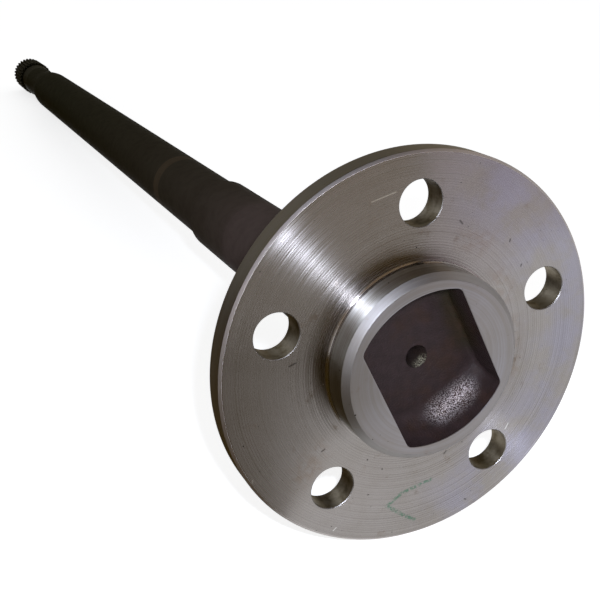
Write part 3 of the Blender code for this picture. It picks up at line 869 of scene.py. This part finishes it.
def hardened_material(finish, turn, origin):
    """Induction-hardened steel: dark oxide and quench oil, brown where rust shows through.

    The colour darkens towards the splines, fast at first: painted shade where the lamp's light
    falls off along the shaft, with an olive tint. The hardening stopped for a moment behind the
    body's shoulder and left one paler ring.
    """
    material, tree = new_material("hardened shaft steel")
    coordinates = shaft_coordinates(tree, turn, origin)
    height = coordinates["height"]
    warm = patches(tree, coordinates, 30 * MM, 0.42, 0.7, seed=0.23)
    tone = patches(tree, coordinates, 5 * MM, 0.35, 0.75, seed=0.61, detail=3.0)
    marks = tool_marks(tree, coordinates, 0.7 * MM, drift=1.0)
    # Painted shade: darker towards the splines, where the lamp's light falls off
    far = add_node(tree, "MapRange", height, SHADE_START_Z, SHADE_END_Z)
    far = add_node(tree, "Math", far, 0.3, operation="POWER")
    ring = add_node(tree, "Math", height, PALE_RING_Z, PALE_RING_HALF, operation="COMPARE")
    oxide = laid_over(tree, finish.shaft, (
        (far, 1.0, finish.far_shade_and_oil), (warm, 0.2, finish.shaft_warm), (tone, 0.1, finish.pit_and_shade),
        (ring, 0.12, finish.stain)))
    gloss = add_node(tree, "Math", tone, 0.08, 0.58, operation="MULTIPLY_ADD")
    relief = add_node(tree, "Math", marks, 0.4, tone, operation="MULTIPLY_ADD")
    bump = add_node(tree, "Bump", sockets={"Height": relief, "Distance": 0.006 * MM})
    shader = add_node(tree, "BsdfPrincipled", sockets={
        "Base Color": oxide, "Roughness": gloss, "Specular IOR Level": 0.04, "Normal": bump})
    add_node(tree, "OutputMaterial", shader)
    return material


def shaft_materials(finish, turn, origin):
    """The finishes of the shaft, in the order of their numbers."""
    shaft = (finish, turn, origin)
    dull = finish.steel_dull
    return [
        # The smooth cut of the wheel face, which one bright band crosses
        turned_material("face-turned steel", *shaft, finish.steel, dull, roughness=0.25,
                        streak=1.0, mark_depth=0.005 * MM, rings=0.045, handled=True),
        # A finer, flatter cut on the pilot's face, pale and almost even
        turned_material("fine-turned steel", *shaft, finish.land, dull, roughness=0.36,
                        streak=0.6, mark_depth=0.012 * MM, rings=0.4),
        # The form tool's cut, a plain soft grey with no band
        turned_material("chamfered steel", *shaft, finish.chamfer, dull, roughness=0.47,
                        streak=0.0, mark_depth=0.01 * MM, rings=0.1),
        # A coarse cut with oil in its grooves, bright towards the light and brown beside it
        turned_material("rough-turned steel", *shaft, finish.wall, finish.bore_stain,
                        roughness=0.52, streak=1.0, mark_depth=0.03 * MM, rings=0.35,
                        ridges=0.05),
        # Handling has polished the rim's edges, so that a thin light line runs along them
        turned_material("burnished steel edge", *shaft, finish.edge, finish.steel,
                        roughness=0.5, streak=0.4, mark_depth=0.01 * MM, rings=0.1, ridges=0.0,
                        across=0.0),
        # Old oil on the rim makes it a dull olive grey
        turned_material("oiled turned steel", *shaft, finish.rim, dull, roughness=0.42,
                        streak=0.6, mark_depth=0.03 * MM, rings=0.3),
        drilled_material(*shaft), scale_material(*shaft), hardened_material(*shaft),
        # The hobbed splines are oily and nearly black; their darkness is partly painted shade of
        # the far end
        turned_material("hobbed steel", *shaft, finish.hobbed, finish.far_shade_and_oil, roughness=0.6,
                        streak=0.0, mark_depth=0.02 * MM, rings=0.2)]


class AXLESHAFT_OT_shaft(bpy.types.Operator):
    """Build the shaft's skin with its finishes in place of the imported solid"""
    bl_idname = "axle_shaft.shaft"
    bl_label = "Axle Shaft"

    def execute(self, context):
        sizes, finish = context.scene.axle_shaft_sizes, context.scene.axle_shaft_finish
        turn, origin = shaft_frame()
        piece = build_skin("axle_shaft_skin", shaft_skin(sizes), turn, origin)
        for material in shaft_materials(finish, turn, origin):
            piece.data.materials.append(material)
        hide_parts("axle_shaft")
        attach(piece, "root")
        return {"FINISHED"}


def seen_white(tree):
    """1 for what the camera, a reflection or a glass sees, and 0 for light that falls on things."""
    rays = add_node(tree, "LightPath").node.outputs
    seen = add_node(tree, "Math", rays["Is Camera Ray"], rays["Is Glossy Ray"],
                    operation="MAXIMUM")
    return add_node(tree, "Math", seen, rays["Is Transmission Ray"], operation="MAXIMUM")


def floor_material(chalk, sky):
    """Plain painted floor: chalk white to the eye and in reflections, with the shadow kept.

    It glows by what the sky's strength leaves short of white, for seen rays alone.
    """
    material, tree = new_material("white floor")
    amount = add_node(tree, "Math", seen_white(tree), 1 - chalk[0] * sky, operation="MULTIPLY")
    glow = add_node(tree, "Emission", sockets={"Strength": amount})
    paint = add_node(tree, "BsdfDiffuse", chalk)
    add_node(tree, "OutputMaterial", add_node(tree, "AddShader", glow, paint))
    return material


def add_plane(name, low, high, material):
    """A rectangle of the studio between two facing corners; it is no part of the object.

    The corners share one coordinate, which gives the plane that it lies in.
    """
    flat = [a == b for a, b in zip(low, high)].index(True)
    second, fourth = list(low), list(high)
    across = (flat + 1) % 3
    second[across], fourth[across] = high[across], low[across]
    mesh = bpy.data.meshes.new(name)
    mesh.from_pydata([low, second, high, fourth], [], [range(4)])
    mesh.materials.append(material)
    plane = bpy.data.objects.new(name, mesh)
    bpy.context.scene.collection.objects.link(plane)
    return plane


def add_card(name, low, high, paper, far_paper=None):
    """A matt card that only reflections see, as a flag that stands outside a photograph.

    A card with a second paper fades to it round a corner, as a shadow's soft edge does: the paper
    depends on the sine of the angle between the line to the corner and the edge's own line.
    """
    material, tree = new_material(name)
    tone = paper
    if far_paper:
        place = add_node(tree, "TexCoord").node.outputs["Object"]
        offset = add_node(tree, "VectorMath", place, FADE_CORNER, operation="SUBTRACT")
        offset = add_node(tree, "VectorMath", offset, operation="NORMALIZE")
        way = (math.cos(FADE_ANGLE), math.sin(FADE_ANGLE), 0)
        sine = add_node(tree, "VectorMath", offset, way, operation="DOT_PRODUCT")
        share = add_node(tree, "MapRange", sine, -FADE_HALF, FADE_HALF,
                         interpolation_type="SMOOTHSTEP")
        tone = add_node(tree, "Mix", share, paper, far_paper, data_type="RGBA")
    add_node(tree, "OutputMaterial", add_node(tree, "Emission", tone))
    card = add_plane(name, low, high, material)
    for kind in ("camera", "diffuse", "shadow", "transmission"):
        setattr(card, "visible_" + kind, False)


def add_lamp(name, place, target, power, width, tint):
    """A square soft lamp that looks at a target."""
    light = bpy.data.lights.new(name, "AREA")
    light.energy = power
    light.size = width
    lamp = bpy.data.objects.new(name, light)
    lamp.location = place
    lamp.rotation_euler = (Vector(target) - Vector(place)).to_track_quat("-Z", "Y").to_euler()
    light.color = tint[:3]
    lamp.visible_camera = False
    bpy.context.scene.collection.objects.link(lamp)


def white_world(strength):
    """Even light from all round, which the eye and reflections see as plain white."""
    world = bpy.data.worlds.new("studio")
    world.use_nodes = True
    tree = world.node_tree
    tree.nodes.clear()
    level = add_node(tree, "Math", seen_white(tree), 1 - strength, strength,
                     operation="MULTIPLY_ADD")
    light = add_node(tree, "Background", linear("FFFFFF"), level)
    add_node(tree, "OutputWorld", light)
    bpy.context.scene.world = world


class AXLESHAFT_OT_stage(bpy.types.Operator):
    """Set the white floor, the lamp, the cards and the camera"""
    bl_idname = "axle_shaft.stage"
    bl_label = "Studio"

    def execute(self, context):
        settings = context.scene.axle_shaft_stage
        turn, origin = shaft_frame()
        add_plane("floor", (-FLOOR_HALF, -FLOOR_HALF, FLOOR_Z), (FLOOR_HALF, FLOOR_HALF, FLOOR_Z),
                  floor_material(settings.chalk, settings.world_strength))
        for name, low, high, *papers in (
                ("front_low", (-NEAR, FRONT, 0), (NEAR, FRONT, LOW), settings.low_screen),
                ("front_side", (NEAR, FRONT, 0), (FAR_RIGHT, FRONT, LOW), settings.side_screen),
                ("front_middle", (LEFT, FRONT, LOW), (NEAR, FRONT, MIDDLE), settings.screen),
                ("front_right", (NEAR, FRONT, LOW), (RIGHT, FRONT, MIDDLE), settings.flag),
                ("front_high", (LEFT, FRONT, MIDDLE), (RIGHT, FRONT, TOP), settings.flag),
                ("back", (LEFT, BACK, 0), (FAR_RIGHT, BACK, TOP), settings.back_screen),
                ("top", (LEFT, FRONT, TOP), (RIGHT, BACK, TOP), settings.flag),
                ("top_far", (RIGHT, FRONT, TOP), (FAR_RIGHT, BACK, TOP), settings.screen),
                ("left", (LEFT, FRONT, 0), (LEFT, BACK, TOP), settings.flag),
                ("right", (FAR_RIGHT, FRONT, 0), (FAR_RIGHT, BACK, TOP), settings.pale),
                ("side", (LEFT, SEAM, LIFT), (SHAFT_SIDE, BACK, LIFT), settings.low_flag),
                ("low", (LEFT, FRONT, LIFT), (RIGHT, SEAM, LIFT), settings.low_flag,
                 settings.paper)):
            add_card(name + "_flag", low, high, *papers)
        camera_place = Vector(settings.camera_place)
        lamp_place = camera_place + turn @ Vector((1, 1, 0)).normalized() * settings.key_offset
        add_lamp("key", lamp_place, origin, settings.key_power, settings.key_width,
                 settings.key_tint)
        white_world(settings.world_strength)
        camera_data = bpy.data.cameras.new("camera")
        camera_data.lens = settings.camera_lens
        camera_data.clip_start = 0.01
        camera = bpy.data.objects.new("camera", camera_data)
        camera.location = camera_place
        camera.rotation_euler = settings.camera_turn
        context.scene.collection.objects.link(camera)
        context.scene.camera = camera
        context.scene.view_settings.view_transform = "Standard"
        return {"FINISHED"}


class AXLESHAFT_PT_panel(bpy.types.Panel):
    bl_idname = "AXLESHAFT_PT_panel"
    bl_label = "Axle Shaft"
    bl_space_type = "VIEW_3D"
    bl_region_type = "UI"
    bl_category = "Axle Shaft"

    def draw(self, context):
        for operator in OPERATORS:
            self.layout.operator(operator.bl_idname)
        for group in SETTINGS:
            settings = getattr(context.scene, group)
            box = self.layout.box()
            for name in settings.bl_rna.properties.keys():
                if name not in ("rna_type", "name"):
                    box.prop(settings, name)


OPERATORS = (AXLESHAFT_OT_shaft, AXLESHAFT_OT_stage)
SETTINGS = {"axle_shaft_sizes": AxleShaftSizes, "axle_shaft_finish": AxleShaftFinish,
            "axle_shaft_stage": AxleShaftStage}


def register():
    for group in SETTINGS.values():
        bpy.utils.register_class(group)
    for name, group in SETTINGS.items():
        setattr(bpy.types.Scene, name, PointerProperty(type=group))
    for part in (*OPERATORS, AXLESHAFT_PT_panel):
        bpy.utils.register_class(part)


def unregister():
    for part in (AXLESHAFT_PT_panel, *reversed(OPERATORS)):
        bpy.utils.unregister_class(part)
    for name, group in reversed(SETTINGS.items()):
        delattr(bpy.types.Scene, name)
        bpy.utils.unregister_class(group)


def main():
    register()
    bpy.ops.axle_shaft.shaft()
    bpy.ops.axle_shaft.stage()


if __name__ == "__main__":
    main()
